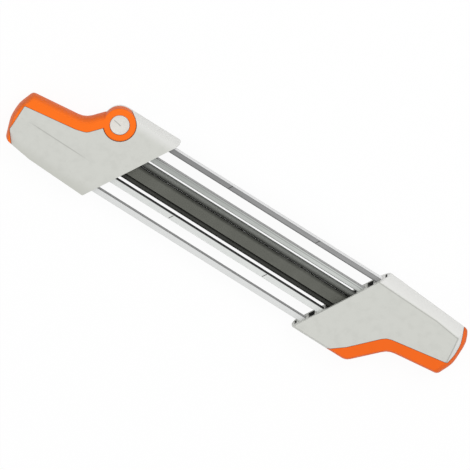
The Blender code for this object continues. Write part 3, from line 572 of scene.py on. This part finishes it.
@dataclass(frozen=True)
class GroundSteel:
    """A ground steel bar: long fine scratches, and painted reflection and shade on top and sides.

    The top's painted reflection changes along x from one tone to another, and may carry a
    painted reflection line or rims in a third tone, which its wear takes too.
    """

    name: str
    centre: float
    half_width: float
    # The top, far and side tones are painted reflection and shade; the third tone serves both the wear
    # and a painted reflection line and rims
    top_tone: Colour
    far_tone: Colour
    high_side_tone: Colour
    low_side_tone: Colour
    wear_and_reflection_tone: Colour
    reflection_at: float = 0.0
    reflection_share: float = 0.0
    reflection_width: float = 0.0006
    rim_share: float = 0.0
    rim_width: float = 0.0005
    side_dull: float = 0.0
    edge: float = 0.0007
    reach: float = 0.085
    scratch: float = 0.0006
    scratch_depth: float = 0.00002
    scratch_stretch: Point = (0.012, 1.0, 1.0)
    patch: float = 0.004
    patch_stretch: Point = (0.3, 1.0, 1.0)
    patch_share: float = 0.4
    worn_share: float = 0.35
    metal: float = 0.7
    rough: float = 0.3
    rough_spread: float = 0.15
    dull_rough: float = 0.5

    def build(self) -> Material:
        """Make the material.

        Returns:
            The material.
        """
        paint = Paint(self.name)
        across = paint.y - self.centre
        rim_at = self.half_width - self.edge
        high = across.rise(rim_at, self.half_width - self.edge / 3)
        low = (-across).rise(rim_at, self.half_width - self.edge / 3)
        scratches = paint.noise(self.scratch, stretch=self.scratch_stretch)
        patches = paint.noise(self.patch, stretch=self.patch_stretch)
        patches = patches.rise(*CLOUDY) * self.patch_share
        worn = scratches.rise(*SPECKLED) * (1 - self.patch_share) + patches
        # Painted reflection: the top's tone goes from one to another along x
        along = paint.x.rise(-self.reach, self.reach)
        tone = paint.mixed(along, self.top_tone, self.far_tone)
        tone = paint.mixed(worn * self.worn_share, tone, self.wear_and_reflection_tone)
        # A painted reflection line along the top, and painted reflection along its rims
        reflection_line = (across - self.reflection_at).line(self.reflection_width) * self.reflection_share
        rim = (abs(across) - rim_at).line(self.rim_width) * self.rim_share
        tone = paint.mixed(reflection_line.most(rim), tone, self.wear_and_reflection_tone)
        # Painted reflection and shade on the two sides
        tone = paint.mixed(high, tone, self.high_side_tone)
        tone = paint.mixed(low, tone, self.low_side_tone)
        metal = self.metal
        rough = self.rough + scratches * self.rough_spread
        if self.side_dull:
            dull = high.most(low) * self.side_dull
            metal = self.metal * (1 - dull)
            rough = rough + dull * self.dull_rough
        paint.set(Base_Color=tone, Metallic=metal, Roughness=rough)
        paint.bump(scratches, self.scratch_depth)
        return paint.material


@dataclass(frozen=True)
class FileSteel:
    """File steel: specks, clouds, one handled patch, and dull sides that may take painted shade.

    Across the file, from one place on y to another, its tone goes over into a second one, as
    painted shade on the side that lies against the next file.
    """

    name: str
    tone: Colour
    far_tone: Colour
    bright_tone: Colour
    span: Span
    patch_share: float = 0.0
    side_share: float = 0.0
    side_span: Span = (0.15, 0.65)
    # The side tone is painted shade
    side_tone: Colour = colour_of(4, 4, 3)
    patch_start: Span = (0.045, 0.055)
    patch_stop: Span = (0.072, 0.078)
    speck: float = 0.0011
    speck_share: float = 0.22
    speck_depth: float = 0.00003
    cloud: float = 0.012
    cloud_share: float = 0.15
    metal: float = 0.5
    glint: float = 0.15
    rough: float = 0.45
    rough_spread: float = 0.2
    side_rough: float = 0.3

    def build(self) -> Material:
        """Make the material.

        Returns:
            The material.
        """
        paint = Paint(self.name)
        specks = paint.noise(self.speck).rise(*SPECKLED)
        clouds = paint.noise(self.cloud).rise(*CLOUDY)
        handled = paint.x.rise(*self.patch_start) * (1 - paint.x.rise(*self.patch_stop))
        bright = specks * self.speck_share + clouds * self.cloud_share + handled * self.patch_share
        # Painted shade across the file, darkest on the side that lies against the next file
        tone = paint.mixed(paint.y.rise(*self.span), self.tone, self.far_tone)
        tone = paint.mixed(bright, tone, self.bright_tone)
        side = 1 - abs(paint.upward()).rise(*self.side_span)
        metal = self.metal
        if self.side_share:
            # Painted shade on the upright sides
            tone = paint.mixed(side * self.side_share, tone, self.side_tone)
            metal = self.metal * (1 - side * self.side_share)
        rough = self.rough + specks * self.rough_spread + side * self.side_rough
        paint.set(Base_Color=tone, Metallic=metal, Specular_IOR_Level=self.glint, Roughness=rough)
        paint.bump(specks, self.speck_depth)
        return paint.material


@dataclass(frozen=True)
class PlainSteel:
    """Plain fastener steel with faint clouds and fine scratches."""

    name: str
    tone: Colour
    dark_tone: Colour
    rough: float = 0.3
    rough_spread: float = 0.15
    metal: float = 0.9
    cloud: float = 0.0015
    scratch: float = 0.0003
    scratch_stretch: Point = (1.0, 0.15, 1.0)
    scratch_depth: float = 0.00001

    def build(self) -> Material:
        """Make the material.

        Returns:
            The material.
        """
        paint = Paint(self.name)
        clouds = paint.noise(self.cloud, 4.0).rise(*SPECKLED)
        scratches = paint.noise(self.scratch, 2.0, self.scratch_stretch)
        tone = paint.mixed(clouds, self.tone, self.dark_tone)
        rough = self.rough + scratches * self.rough_spread
        paint.set(Base_Color=tone, Metallic=self.metal, Roughness=rough)
        paint.bump(scratches, self.scratch_depth)
        return paint.material


# Sub-assemblies
@dataclass
class Housings:
    """The grey shells of both handles."""

    lever_crease: tuple[Span, ...] = ((-0.1255, -0.0105), (-0.1505, -0.0102), (-0.1755, -0.0098))
    lever_crease_start: Span = (-0.178, -0.168)
    lever_crease_stop: Span = (-0.140, -0.120)
    # How much painted sheen and painted shade the lever handle's two long edges take
    lever_edge_share: float = 0.9
    plain_crease: tuple[Span, ...] = (
        (0.1142, 0.0277), (0.1608, 0.0261), (0.1815, 0.0235), (0.1839, 0.0052)
    )
    plain_crease_start: Span = (0.100, 0.112)
    plain_crease_stop: Span = (0.20, 0.21)

    def build(self) -> None:
        """Dress the four shells."""
        # The plain handle's strip past the crease takes a painted highlight; the lever handle's long
        # edges take painted sheen and painted shade
        lever = HousingPlastic(
            "lever_housing_grey", self.lever_crease, self.lever_crease_start, self.lever_crease_stop,
            strip_share=0.0, facing=-1.0, edge_share=self.lever_edge_share,
        ).build()
        plain = HousingPlastic(
            "plain_housing_grey", self.plain_crease, self.plain_crease_start, self.plain_crease_stop,
            strip_share=1.0, facing=1.0,
        ).build()
        for half in ("top", "bottom"):
            dress(f"lever_housing_{half}", lever)
            dress(f"plain_housing_{half}", plain)


@dataclass
class OrangeMouldings:
    """The locking lever and the grip along the plain handle's edge, each in its own orange."""

    # Each orange with its painted shade tone for the upright sides
    lever_tone: Colour = colour_of(254, 117, 33)
    lever_shade: Colour = colour_of(208, 92, 18)
    grip_tone: Colour = colour_of(244, 107, 34)
    grip_shade: Colour = colour_of(186, 84, 28)

    def build(self) -> None:
        """Dress the two orange mouldings."""
        dress("locking_lever", MouldedPlastic("lever_orange", self.lever_tone, self.lever_shade).build())
        dress("edge_grip", MouldedPlastic("grip_orange", self.grip_tone, self.grip_shade).build())


@dataclass
class GuideBars:
    """The four guide bars, their angle marks and the pins that hold them."""

    inner_centre: float = 0.01473
    outer_centre: float = 0.02799
    inner_half_width: float = 0.0024
    outer_half_width: float = 0.00225
    mark_length: float = 0.0040
    mark_width: float = 0.0005
    mark_height: float = 0.00012
    mark_lean: float = math.radians(58.0)
    inner_marks: tuple[float, ...] = (-0.0482, 0.0345)
    outer_marks: tuple[float, ...] = (-0.0228, 0.0544)
    pins: int = 8

    def build(self) -> None:
        """Dress the bars and pins, and lay the marks."""
        # Each bar's tones are painted reflection and shade, paler on the lower bars and darker on the
        # upper; the wear in them is the steel's own
        bars = {
            "outer_guide_upper": GroundSteel(
                "outer_upper_steel", self.outer_centre, self.outer_half_width,
                colour_of(132, 132, 132), colour_of(152, 152, 152), colour_of(222, 222, 222),
                colour_of(112, 112, 112), colour_of(108, 109, 109), rim_share=0.7,
            ),
            "inner_guide_upper": GroundSteel(
                "inner_upper_steel", self.inner_centre, self.inner_half_width,
                colour_of(160, 163, 160), colour_of(194, 197, 194), colour_of(146, 146, 145),
                colour_of(160, 162, 158), colour_of(138, 141, 138), reflection_at=0.00085, reflection_share=0.8,
            ),
            "inner_guide_lower": GroundSteel(
                "inner_lower_steel", -self.inner_centre, self.inner_half_width,
                colour_of(208, 210, 208), colour_of(214, 216, 214), colour_of(20, 20, 18),
                colour_of(232, 234, 232), colour_of(192, 195, 192), side_dull=1.0,
            ),
            "outer_guide_lower": GroundSteel(
                "outer_lower_steel", -self.outer_centre, self.outer_half_width,
                colour_of(210, 211, 210), colour_of(212, 213, 212), colour_of(92, 92, 91),
                colour_of(226, 227, 226), colour_of(200, 202, 201), edge=0.0003,
            ),
        }
        for node, steel in bars.items():
            dress(node, steel.build())
        pin_steel = PlainSteel("pin_steel", colour_of(190, 190, 188), colour_of(160, 160, 158)).build()
        for number in range(self.pins):
            dress(f"guide_pin_{number + 1}", pin_steel)
        self._marks()

    def _marks(self) -> None:
        """Lay the short slanted angle marks on the bars' top faces."""
        inner_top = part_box("inner_guide_lower")[1][2]
        outer_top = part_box("outer_guide_upper")[1][2]
        sink = self.mark_height / 4
        places = [(x, -self.inner_centre, inner_top - sink) for x in self.inner_marks]
        places += [(x, self.outer_centre, outer_top - sink) for x in self.outer_marks]
        sizes = {
            "Length": self.mark_length, "Width": self.mark_width,
            "Height": self.mark_height, "Lean": self.mark_lean,
        }
        shape = Shape("angle_mark_rule", sizes)
        size = shape.vector(shape["Length"], shape["Width"], shape["Height"])
        mark = shape.node("GeometryNodeMeshCube", None, {"Size": size}).outputs[0]
        turn = shape.vector(z=shape["Lean"])
        values = {"Points": shape.entry.outputs["Geometry"], "Instance": mark, "Rotation": turn}
        laid = shape.node("GeometryNodeInstanceOnPoints", None, values).outputs[0]
        shape.finish(laid)
        ink = PlainSteel("mark_ink", colour_of(52, 52, 50), colour_of(70, 70, 68), 0.5).build()
        marks = shape.grow("angle_marks", points_mesh("angle_mark_places", places), ink)
        settle(marks, Body.FRAME)


@dataclass
class Files:
    """The flat file and the two round files, with their teeth.

    The flat file's teeth are cut into its blank. Those of the round files stand a little
    proud of theirs, which narrows the slit beside the flat file.
    """

    tooth_pitch: float = 0.0009
    tooth_depth: float = 0.00012
    rows_along: int = 880
    round_sides: int = 40
    flat_columns: int = 14
    flat_lean: float = 0.45
    bare_end: float = 0.004
    round_centre: float = 0.0073
    round_radius: float = 0.00275
    flat_span: Span = (0.0021, 0.0043)
    flat_patch_share: float = 0.08
    flat_side_share: float = 0.95
    spiral_starts: float = 2.0
    travel_start: float = 1.0

    def build(self) -> None:
        """Cut the three files."""
        far = self.round_centre + self.round_radius
        near = self.round_centre - self.round_radius
        # Each file's pair of tones is painted shade, darker towards the side that lies against the next
        # file
        flat_steel = FileSteel(
            "flat_file_steel", colour_of(92, 93, 87), colour_of(50, 51, 47), colour_of(112, 113, 107),
            self.flat_span, self.flat_patch_share, self.flat_side_share,
        ).build()
        upper_steel = FileSteel(
            "upper_file_steel", colour_of(84, 85, 80), colour_of(136, 138, 134), colour_of(124, 126, 122),
            (near, far), metal=0.0,
        ).build()
        lower_steel = FileSteel(
            "lower_file_steel", colour_of(78, 79, 75), colour_of(12, 13, 10), colour_of(78, 79, 74),
            (-far, -near),
        ).build()
        self._flat(flat_steel)
        self._round("round_file_upper", upper_steel)
        self._round("round_file_lower", lower_steel)

    def _saw(self, shape: Shape, travel: Value) -> Value:
        """The teeth as they repeat along a travel, each rising from zero to the full depth."""
        return ((travel + self.travel_start) / shape["Pitch"]).fraction() * shape["Depth"]

    def _end_fade(self, shape: Shape, along: Value) -> Value:
        """One along the file, falling to zero at its bare ends."""
        half = shape["Length"] * 0.5 - abs(along)
        return (half / shape["Bare end"]).least(1.0).most(0.0)

    def _flat(self, finish: Material) -> None:
        """Cut the flat file: slanted rows of teeth on its two faces.

        Args:
            finish: Its steel.
        """
        low, high = (Vector(corner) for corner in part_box("flat_file"))
        span = high - low
        middle = (high + low) / 2
        sizes = {
            "Length": span.x, "Width": span.y, "Thickness": span.z, "Pitch": self.tooth_pitch,
            "Depth": self.tooth_depth, "Lean": self.flat_lean, "Bare end": self.bare_end,
            "Rows": self.rows_along, "Columns": self.flat_columns,
        }
        shape = Shape("flat_file_rule", sizes)
        size = shape.vector(shape["Length"], shape["Width"], shape["Thickness"])
        values = {"Size": size, "Vertices X": shape["Rows"], "Vertices Y": shape["Columns"]}
        blank = shape.node("GeometryNodeMeshCube", None, {**values, "Vertices Z": 2}).outputs[0]
        x, y, z = shape.position()
        tooth = self._saw(shape, x + y * shape["Lean"]) * self._end_fade(shape, x)
        sign = shape.value("ShaderNodeMath", {"operation": "SIGN"}, {0: z})
        values = {"Geometry": blank, "Offset": shape.vector(z=-(tooth * sign))}
        cut = shape.node("GeometryNodeSetPosition", None, values).outputs[0]
        values = {"Geometry": cut, "Translation": tuple(middle)}
        moved = shape.node("GeometryNodeTransform", None, values).outputs[0]
        shape.finish(moved)
        made = shape.grow("flat_file_cut", points_mesh("flat_file_seed", [tuple(middle)]), finish)
        settle(made, Body.FRAME, ["flat_file"])

    def _round(self, node: str, finish: Material) -> None:
        """Cut a round file: a fine spiral of teeth round its blank.

        Args:
            node: The file's node.
            finish: Its steel.
        """
        low, high = (Vector(corner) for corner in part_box(node))
        span = high - low
        middle = (high + low) / 2
        sizes = {
            "Length": span.x, "Radius": span.z / 2, "Pitch": self.tooth_pitch,
            "Depth": self.tooth_depth, "Bare end": self.bare_end,
            "Rows": self.rows_along, "Sides": self.round_sides,
        }
        shape = Shape(node + "_rule", sizes)
        values = {
            "Vertices": shape["Sides"], "Side Segments": shape["Rows"],
            "Radius": shape["Radius"], "Depth": shape["Length"],
        }
        blank = shape.node("GeometryNodeMeshCylinder", {"fill_type": "NGON"}, values).outputs[0]
        x, y, z = shape.position()
        turn = shape.value("ShaderNodeMath", {"operation": "ARCTAN2"}, {0: y, 1: x}) / (2 * math.pi)
        travel = z + turn * shape["Pitch"] * self.spiral_starts
        proud = 1.0 + self._saw(shape, travel) * self._end_fade(shape, z) / shape["Radius"]
        values = {"Geometry": blank, "Position": shape.vector(x * proud, y * proud, z)}
        cut = shape.node("GeometryNodeSetPosition", None, values).outputs[0]
        values = {"Geometry": cut, "Translation": tuple(middle), "Rotation": (0.0, math.pi / 2, 0.0)}
        moved = shape.node("GeometryNodeTransform", None, values).outputs[0]
        shape.finish(moved)
        made = shape.grow(node + "_cut", points_mesh(node + "_seed", [tuple(middle)]), finish)
        settle(made, Body.FRAME, [node])


@dataclass
class HousingScrews:
    """The six housing screws, heads down, with their cross recess and thread."""

    nodes: tuple[str, ...] = tuple(
        f"{handle}_screw_{number}" for handle in ("lever", "plain") for number in (1, 2, 3)
    )
    head_radius: float = 0.0034
    head_height: float = 0.0022
    core_radius: float = 0.0011
    thread_radius: float = 0.00035
    thread_pitch: float = 0.0012
    recess_width: float = 0.0008
    recess_length: float = 0.0038
    recess_depth: float = 0.0012
    head_sides: int = 32
    core_sides: int = 16
    ridge_sides: int = 3
    steps_a_turn: int = 12

    def build(self) -> None:
        """Make the screws from one rule and put them in place of the plain ones."""
        boxes = [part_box(node) for node in self.nodes]
        places = [((low[0] + high[0]) / 2, (low[1] + high[1]) / 2, low[2]) for low, high in boxes]
        length = boxes[0][1][2] - boxes[0][0][2]
        shank = length - self.head_height
        sizes = {
            "Head radius": self.head_radius, "Head height": self.head_height,
            "Core radius": self.core_radius, "Shank length": shank,
            "Thread radius": self.thread_radius, "Recess width": self.recess_width,
            "Recess length": self.recess_length, "Recess depth": self.recess_depth,
            "Turns": (shank - 4 * self.thread_radius) / self.thread_pitch,
        }
        shape = Shape("screw_rule", sizes)
        screw = self._one(shape)
        values = {"Points": shape.entry.outputs["Geometry"], "Instance": screw}
        placed = shape.node("GeometryNodeInstanceOnPoints", None, values).outputs[0]
        shape.finish(placed)
        steel = PlainSteel("screw_steel", colour_of(176, 176, 174), colour_of(140, 140, 138)).build()
        screws = shape.grow("housing_screws", points_mesh("screw_places", places), steel)
        settle(screws, Body.FRAME, self.nodes)

    def _one(self, shape: Shape) -> NodeSocket:
        """One screw with its head's face at the origin and its shank upwards.

        Args:
            shape: The screws' tree.

        Returns:
            The screw.
        """
        head_height = shape["Head height"]
        head = self._round_bar(shape, self.head_sides, "Head radius", head_height, head_height * 0.5)
        size = shape.vector(shape["Recess length"], shape["Recess width"], shape["Recess depth"] * 2.0)
        cut = shape.node("GeometryNodeMeshBoolean", {"operation": "DIFFERENCE"}, {"Mesh 1": head})
        for turn in (0.0, math.pi / 2):
            arm = shape.node("GeometryNodeMeshCube", None, {"Size": size}).outputs[0]
            values = {"Geometry": arm, "Rotation": (0.0, 0.0, turn)}
            arm = shape.node("GeometryNodeTransform", None, values).outputs[0]
            shape.feed(cut.inputs["Mesh 2"], arm)
        shank = shape["Shank length"]
        core = self._round_bar(shape, self.core_sides, "Core radius", shank, head_height + shank * 0.5)
        core_radius = shape["Core radius"]
        thread_radius = shape["Thread radius"]
        values = {
            "Resolution": self.steps_a_turn, "Rotations": shape["Turns"],
            "Start Radius": core_radius, "End Radius": core_radius, "Height": shank - thread_radius * 4.0,
        }
        path = shape.node("GeometryNodeCurveSpiral", None, values).outputs[0]
        values = {"Resolution": self.ridge_sides, "Radius": thread_radius}
        ridge = shape.node("GeometryNodeCurvePrimitiveCircle", None, values).outputs[0]
        values = {"Curve": path, "Profile Curve": ridge, "Fill Caps": True}
        thread = shape.node("GeometryNodeCurveToMesh", None, values).outputs[0]
        values = {"Geometry": thread, "Translation": shape.vector(z=head_height + thread_radius * 1.5)}
        thread = shape.node("GeometryNodeTransform", None, values).outputs[0]
        joined = shape.node("GeometryNodeJoinGeometry")
        for part in (cut.outputs[0], core, thread):
            shape.feed(joined.inputs[0], part)
        return joined.outputs[0]

    @staticmethod
    def _round_bar(shape: Shape, sides: int, radius: str, length: Value, height: Value) -> NodeSocket:
        """An upright round bar about the origin's axis.

        Args:
            shape: The screws' tree.
            sides: How many sides it has.
            radius: The name of its radius among the tree's sizes.
            length: Its length.
            height: The height of its middle.

        Returns:
            The bar.
        """
        values = {"Vertices": sides, "Radius": shape[radius], "Depth": length}
        bar = shape.node("GeometryNodeMeshCylinder", {"fill_type": "NGON"}, values).outputs[0]
        values = {"Geometry": bar, "Translation": shape.vector(z=height)}
        return shape.node("GeometryNodeTransform", None, values).outputs[0]


@dataclass
class PivotCap:
    """The disc over the lever's pivot: slightly dished, with a rolled rim and a slot of painted shade.

    The rim's steps go outwards. Each gives how many rims inwards and how many dishes down it is.
    """

    rim: float = 0.0009
    dish: float = 0.0005
    rim_steps: tuple[Span, ...] = ((2.0, 1.0), (1.4, 0.6), (1.0, 0.0), (0.3, 0.2), (0.0, 0.8))
    sides: int = 64
    slot_length: float = 0.0062
    slot_width: float = 0.0007
    slot_offset: float = 0.35
    slot_depth: float = 0.000075
    slot_turn: float = math.radians(-10.0)
    slot_fade: float = 0.0002
    slot_share: float = 0.8
    cloud: float = 0.003
    cloud_share: float = 0.3
    rough: float = 0.35
    rough_spread: float = 0.1
    sharp_from: float = math.radians(50.0)
    tone: Colour = colour_of(223, 220, 214)
    cloud_tone: Colour = colour_of(211, 209, 204)
    slot_shade_tone: Colour = colour_of(158, 158, 156)

    def build(self) -> None:
        """Turn the cap and put it in place of the plain disc."""
        low, high = (Vector(corner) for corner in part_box("pivot_cap"))
        radius = (high.x - low.x) / 2
        middle = (low + high) / 2
        profile = [
            (radius - self.rim * inwards, high.z - self.dish * down) for inwards, down in self.rim_steps
        ]
        profile.append((radius, low.z))
        shape = bmesh.new()
        rings = []
        for reach, height in profile:
            ring = []
            for step in range(self.sides):
                angle = 2 * math.pi * step / self.sides
                place = (middle.x + reach * math.cos(angle), middle.y + reach * math.sin(angle), height)
                ring.append(shape.verts.new(place))
            rings.append(ring)
        for upper, lower in zip(rings, rings[1:]):
            for step in range(self.sides):
                after = (step + 1) % self.sides
                shape.faces.new((upper[after], upper[step], lower[step], lower[after]))
        shape.faces.new(rings[0])
        shape.faces.new(rings[-1][::-1])
        bmesh.ops.recalc_face_normals(shape, faces=shape.faces)
        mesh = bpy.data.meshes.new("pivot_cap_dished")
        shape.to_mesh(mesh)
        shape.free()
        mesh.shade_smooth()
        mesh.set_sharp_from_angle(angle=self.sharp_from)
        cap = add_object("pivot_cap_dished", mesh)
        mesh.materials.append(self._finish(middle))
        settle(cap, Body.FRAME, ["pivot_cap"])

    def _finish(self, middle: Vector) -> Material:
        """Pale plastic with painted shade in the slot's fine line.

        Args:
            middle: The cap's middle.

        Returns:
            The material.
        """
        paint = Paint("cap_grey")
        along = Vector((math.cos(self.slot_turn), math.sin(self.slot_turn)))
        off_x, off_y = paint.x - middle.x, paint.y - middle.y
        run = off_x * along.x + off_y * along.y
        side = off_y * along.x - off_x * along.y
        from_middle = abs(run + self.slot_length * self.slot_offset)
        reach = (from_middle - self.slot_length / 2).rise(self.slot_fade, 0.0)
        slot = side.line(self.slot_width) * reach
        clouds = paint.noise(self.cloud).rise(*CLOUDY)
        tone = paint.mixed(clouds * self.cloud_share, self.tone, self.cloud_tone)
        # Painted shade in the slot
        tone = paint.mixed(slot * self.slot_share, tone, self.slot_shade_tone)
        paint.set(Base_Color=tone, Roughness=self.rough + clouds * self.rough_spread)
        paint.bump(1 - slot, self.slot_depth)
        return paint.material


@dataclass
class ClampWorks:
    """What sits inside the handles: the slide, the fixed rest, the spring and the pivot's pin."""

    def build(self) -> None:
        """Dress the inner pieces."""
        dark = MouldedPlastic(
            "filled_plastic", colour_of(66, 66, 64), colour_of(48, 48, 47), rough=0.5, cloud=0.004
        ).build()
        dress("clamp_slide", dark)
        dress("file_rest", dark)
        wire = PlainSteel("spring_wire", colour_of(182, 182, 180), colour_of(150, 150, 150)).build()
        dress("clamp_spring", wire)
        dress("pivot_pin", wire)


@dataclass
class Studio:
    """The white table, the soft lights and the camera at the photograph's angle."""

    floor_size: float = 6.0
    floor_drop: float = 0.0001
    floor_tone: float = 0.95
    floor_glow: float = 0.94
    underside_reach: Span = (0.003, 0.004)
    world_strength: float = 0.62
    tilt: float = 0.17
    lean: float = -0.10
    turn: float = math.radians(32.1)
    pixels: int = 470
    pixels_per_metre: float = 1339.5
    centre: Span = (236.2, 233.2)
    middle_height: float = 0.0125
    reach: float = 1.2
    lights: tuple[tuple[str, Point, float, float], ...] = (
        ("key_light", (0.25, 0.9, 1.5), 1.0, 11.0),
        ("fill_light", (-0.9, -0.8, 1.3), 1.2, 5.0),
    )

    def build(self) -> None:
        """Set the table, the lights and the camera."""
        scene = bpy.context.scene
        scene.view_settings.view_transform = "Standard"
        self._world(scene)
        self._floor()
        for name, place, size, power in self.lights:
            self._light(name, place, size, power)
        self._camera(scene)

    def _world(self, scene: Scene) -> None:
        """A white world to look at, and a soft even light on the object.

        Args:
            scene: The scene.
        """
        world = bpy.data.worlds.new("white_room")
        scene.world = world
        world.use_nodes = True
        nodes = NodeTree(world.node_tree)
        seen = nodes.node("ShaderNodeLightPath")
        rays = ("Is Camera Ray", "Is Glossy Ray", "Is Transmission Ray")
        camera, glossy, through = (Value(nodes, seen.outputs[ray]) for ray in rays)
        white = camera.most(glossy.most(through))
        strength = self.world_strength + white * (1.0 - self.world_strength)
        values = {"Color": (1.0, 1.0, 1.0, 1.0), "Strength": strength}
        back = nodes.node("ShaderNodeBackground", None, values)
        nodes.node("ShaderNodeOutputWorld", None, {"Surface": back.outputs[0]})

    def _floor(self) -> None:
        """The white table top, which keeps a trace of the shadow.

        From below it is clear, and what lies on it is lit as if it were held up, so that the
        underside can be looked at.
        """
        half = self.floor_size / 2
        mesh = bpy.data.meshes.new("table_top")
        corners = [(-half, -half), (half, -half), (half, half), (-half, half)]
        mesh.from_pydata([(*corner, -self.floor_drop) for corner in corners], [], [(0, 1, 2, 3)])
        floor = add_object("table_top", mesh)
        material = bpy.data.materials.new("table_white")
        material.use_nodes = True
        nodes = NodeTree(material.node_tree)
        seen = nodes.node("ShaderNodeLightPath")
        rays = ("Is Camera Ray", "Is Glossy Ray", "Ray Length")
        camera, glossy, length = (Value(nodes, seen.outputs[ray]) for ray in rays)
        tone = (self.floor_tone, self.floor_tone, self.floor_tone, 1.0)
        matte = nodes.node("ShaderNodeBsdfDiffuse", None, {"Color": tone})
        glow = nodes.node("ShaderNodeEmission", None, {"Color": (1.0, 1.0, 1.0, 1.0), "Strength": 1.0})
        values = {0: camera.most(glossy) * self.floor_glow, 1: matte.outputs[0], 2: glow.outputs[0]}
        mix = nodes.node("ShaderNodeMixShader", None, values)
        below = camera * nodes.value("ShaderNodeNewGeometry", output="Backfacing")
        near = (1 - camera) * (1 - length.rise(*self.underside_reach))
        clear = nodes.node("ShaderNodeBsdfTransparent")
        values = {0: below.most(near), 1: mix.outputs[0], 2: clear.outputs[0]}
        both = nodes.node("ShaderNodeMixShader", None, values)
        nodes.node("ShaderNodeOutputMaterial", None, {"Surface": both.outputs[0]})
        mesh.materials.append(material)

    @staticmethod
    def _light(name: str, place: Point, size: float, power: float) -> None:
        """A soft square lamp that looks at the object.

        Args:
            name: The lamp's name.
            place: Where it hangs.
            size: The length of its side.
            power: Its power, in watts.
        """
        lamp = bpy.data.lights.new(name, "AREA")
        lamp.shape = "SQUARE"
        lamp.size = size
        lamp.energy = power
        lit = add_object(name, lamp)
        lit.location = place
        lit.rotation_euler = (-Vector(place)).to_track_quat("-Z", "Y").to_euler()

    def _camera(self, scene: Scene) -> None:
        """A parallel view from just past the upper edge, turned as in the photograph.

        Args:
            scene: The scene.
        """
        back = Vector((self.lean, self.tilt, 1.0)).normalized()
        along = Vector((1.0, 0.0, 0.0))
        along = (along - back * along.dot(back)).normalized()
        up_tool = back.cross(along)
        turn = -self.turn
        right = along * math.cos(turn) - up_tool * math.sin(turn)
        up = along * math.sin(turn) + up_tool * math.cos(turn)
        half = self.pixels / 2
        shift_x = (half - self.centre[0]) / self.pixels_per_metre
        shift_y = (self.centre[1] - half) / self.pixels_per_metre
        target = Vector((0.0, 0.0, self.middle_height)) + right * shift_x + up * shift_y
        lens = bpy.data.cameras.new("photo_camera")
        lens.type = "ORTHO"
        lens.ortho_scale = self.pixels / self.pixels_per_metre
        lens.clip_start = 0.01
        lens.clip_end = 10.0
        camera = add_object("photo_camera", lens)
        turned = Matrix((right, up, back)).transposed().to_4x4()
        camera.matrix_world = Matrix.Translation(target + back * self.reach) @ turned
        scene.camera = camera


def main() -> None:
    """Build the scene in order."""
    logging.basicConfig(level=logging.INFO, format="%(name)s: %(message)s")
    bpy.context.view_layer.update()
    for assembly in (
        Studio(), Housings(), OrangeMouldings(), GuideBars(),
        Files(), HousingScrews(), PivotCap(), ClampWorks(),
    ):
        log.info("building %s", type(assembly).__name__)
        assembly.build()


if __name__ == "__main__":
    main()
